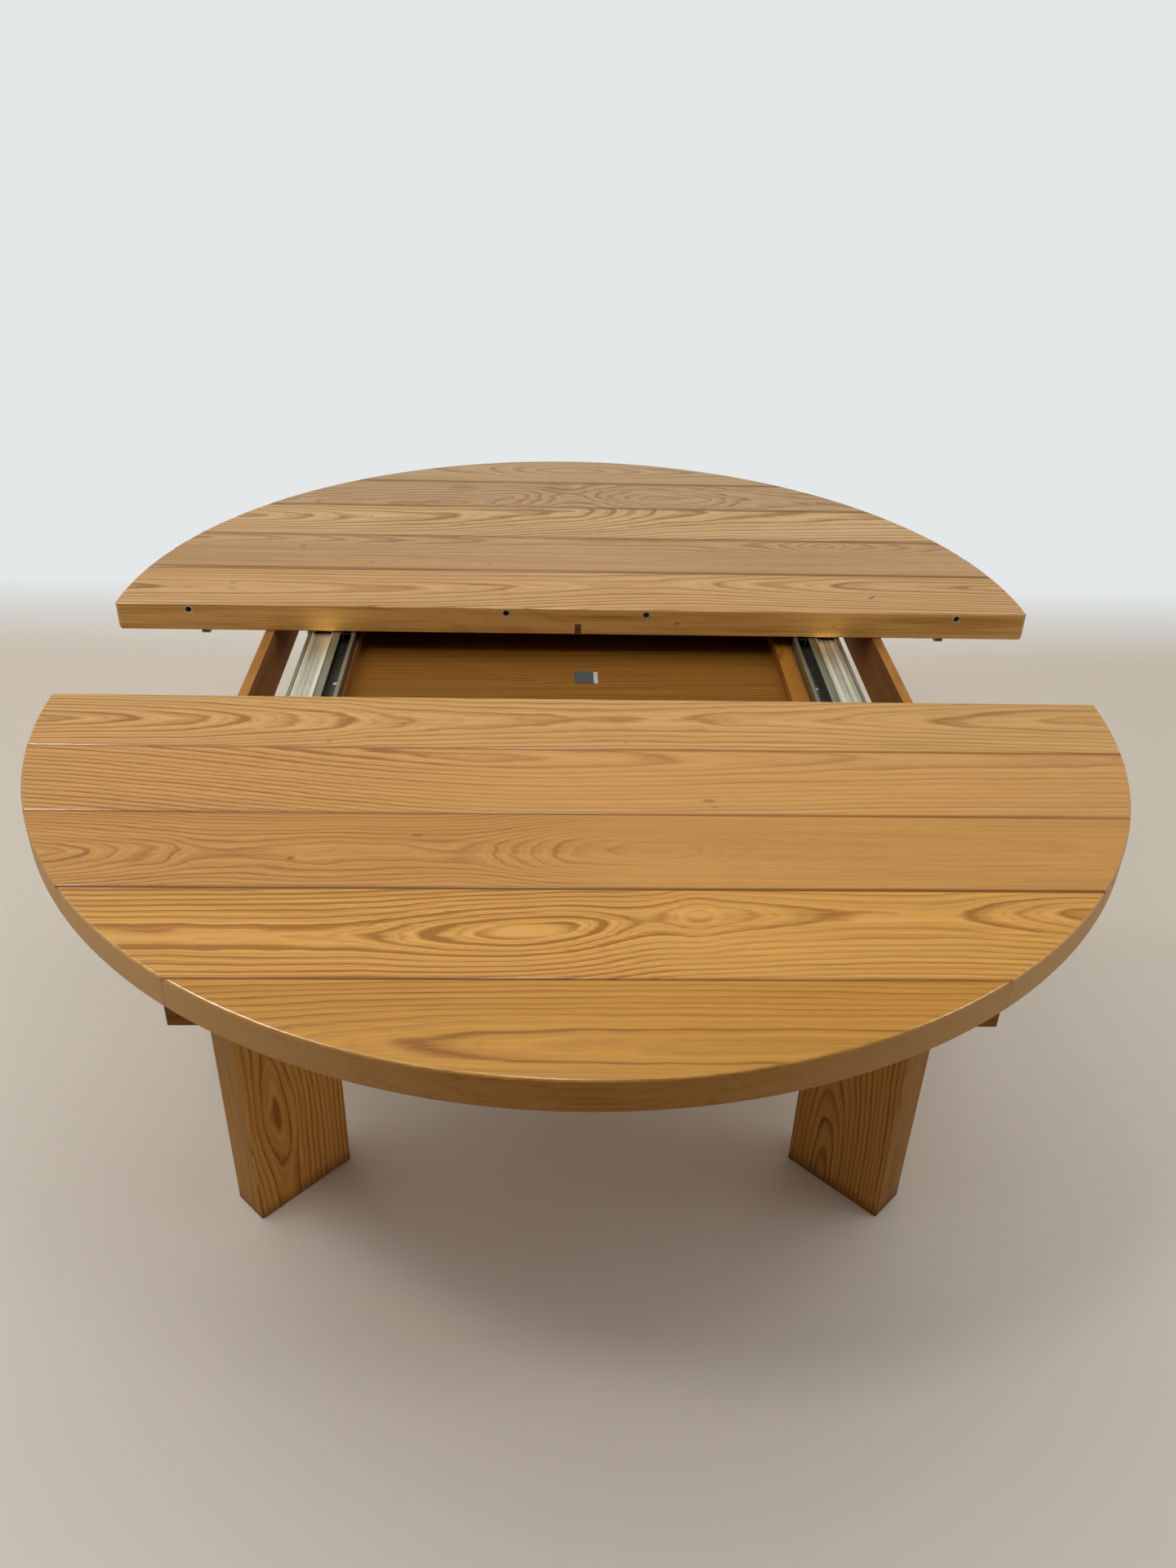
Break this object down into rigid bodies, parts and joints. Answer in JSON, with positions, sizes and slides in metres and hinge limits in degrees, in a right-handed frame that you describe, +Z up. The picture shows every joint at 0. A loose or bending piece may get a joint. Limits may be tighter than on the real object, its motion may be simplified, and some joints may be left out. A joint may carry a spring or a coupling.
{
  "type": "extending table",
  "caption": "Round wooden extending table on diagonal slab legs, whose planked half tops slide apart on steel ball runners to open a well for an extra leaf.",
  "frame": {"origin": "on the floor, under the middle of the gap between the two half tops as they stand here", "axes": "+X to the right as seen from the half that is pulled out, +Y from the pulled-out half towards the closed half, +Z up"},
  "size_m": [1.3, 1.5664, 0.7226],
  "materials": {
    "top_boards": "satin varnish over strong straight and flame grain",
    "legs": "satin varnish, upright grain",
    "rails": "satin varnish, grain along the rail",
    "well_veneer": "satin veneer, fine straight grain",
    "hidden_timber": "plain sawn timber",
    "slide_steel": "zinc plated, dulled, greased inside",
    "bright_steel": "bright zinc plate",
    "dull_steel": "dull plated steel",
    "sleeve_metal": "thin dull metal sleeve",
    "key_wood": "dark hardwood",
    "plate": "blank dark plate",
    "plate_strip": "blank pale strip"
  },
  "bodies": {
    "base": {"leg_front_left": "legs", "leg_front_right": "legs", "leg_back_left": "legs", "leg_back_right": "legs", "cross_rail_front": "rails", "cross_rail_back": "rails", "side_rail_left": "rails", "side_rail_right": "rails", "bearer_left": "hidden_timber", "bearer_right": "hidden_timber", "inner_channel_left": "slide_steel", "inner_channel_right": "slide_steel", "outer_channel_left": "slide_steel", "outer_channel_right": "slide_steel", "well_panel": "well_veneer", "well_batten": "well_veneer", "blank_plate": "plate", "blank_plate_strip": "plate_strip", "base_dowels": "hidden_timber", "channel_screws": "bright_steel"},
    "near_half": {"near_board_1": "top_boards", "near_board_2": "top_boards", "near_board_3": "top_boards", "near_board_4": "top_boards", "near_board_5": "top_boards", "near_loose_tongues": "hidden_timber", "near_cleat_left": "hidden_timber", "near_cleat_right": "hidden_timber", "near_end_cleats": "hidden_timber", "near_apron": "rails", "near_runner_left": "bright_steel", "near_runner_right": "bright_steel", "near_spacers": "hidden_timber", "near_screws": "bright_steel", "locating_pins": "dull_steel", "bolt_guides": "dull_steel"},
    "far_half": {"far_board_1": "top_boards", "far_board_2": "top_boards", "far_board_3": "top_boards", "far_board_4": "top_boards", "far_board_5": "top_boards", "far_loose_tongues": "hidden_timber", "far_cleat_left": "hidden_timber", "far_cleat_right": "hidden_timber", "far_end_cleats": "hidden_timber", "far_apron": "rails", "far_runner_left": "bright_steel", "far_runner_right": "bright_steel", "far_spacers": "hidden_timber", "far_screws": "bright_steel", "pin_sleeves": "sleeve_metal", "bolt_keepers": "dull_steel", "meeting_key": "key_wood"},
    "near_cages": {"near_ball_cages": "bright_steel", "near_balls": "bright_steel"},
    "far_cages": {"far_ball_cages": "bright_steel", "far_balls": "bright_steel"},
    "left_bolt": {"bolt_left": "dull_steel"},
    "right_bolt": {"bolt_right": "dull_steel"}
  },
  "joints": [
    {"name": "near_half_slide", "type": "slide", "parent": "base", "child": "near_half", "axis": [0, -1, 0], "range_m": [-0.2664, 0.0134]},
    {"name": "far_half_slide", "type": "slide", "parent": "base", "child": "far_half", "axis": [0, 1, 0], "range_m": [0, 0.28]},
    {"name": "near_cages_roll", "type": "slide", "parent": "base", "child": "near_cages", "axis": [0, -1, 0], "range_m": [-0.1335, 0.007]},
    {"name": "far_cages_roll", "type": "slide", "parent": "base", "child": "far_cages", "axis": [0, 1, 0], "range_m": [-0.0005, 0.1405]},
    {"name": "left_bolt_slide", "type": "slide", "parent": "near_half", "child": "left_bolt", "axis": [0, 1, 0], "range_m": [0, 0.018]},
    {"name": "right_bolt_slide", "type": "slide", "parent": "near_half", "child": "right_bolt", "axis": [0, 1, 0], "range_m": [0, 0.018]}
  ],
  "couplings": [
    {"joint": "near_cages_roll", "follows": "near_half_slide", "ratio": 0.5},
    {"joint": "far_cages_roll", "follows": "far_half_slide", "ratio": 0.5}
  ]
}
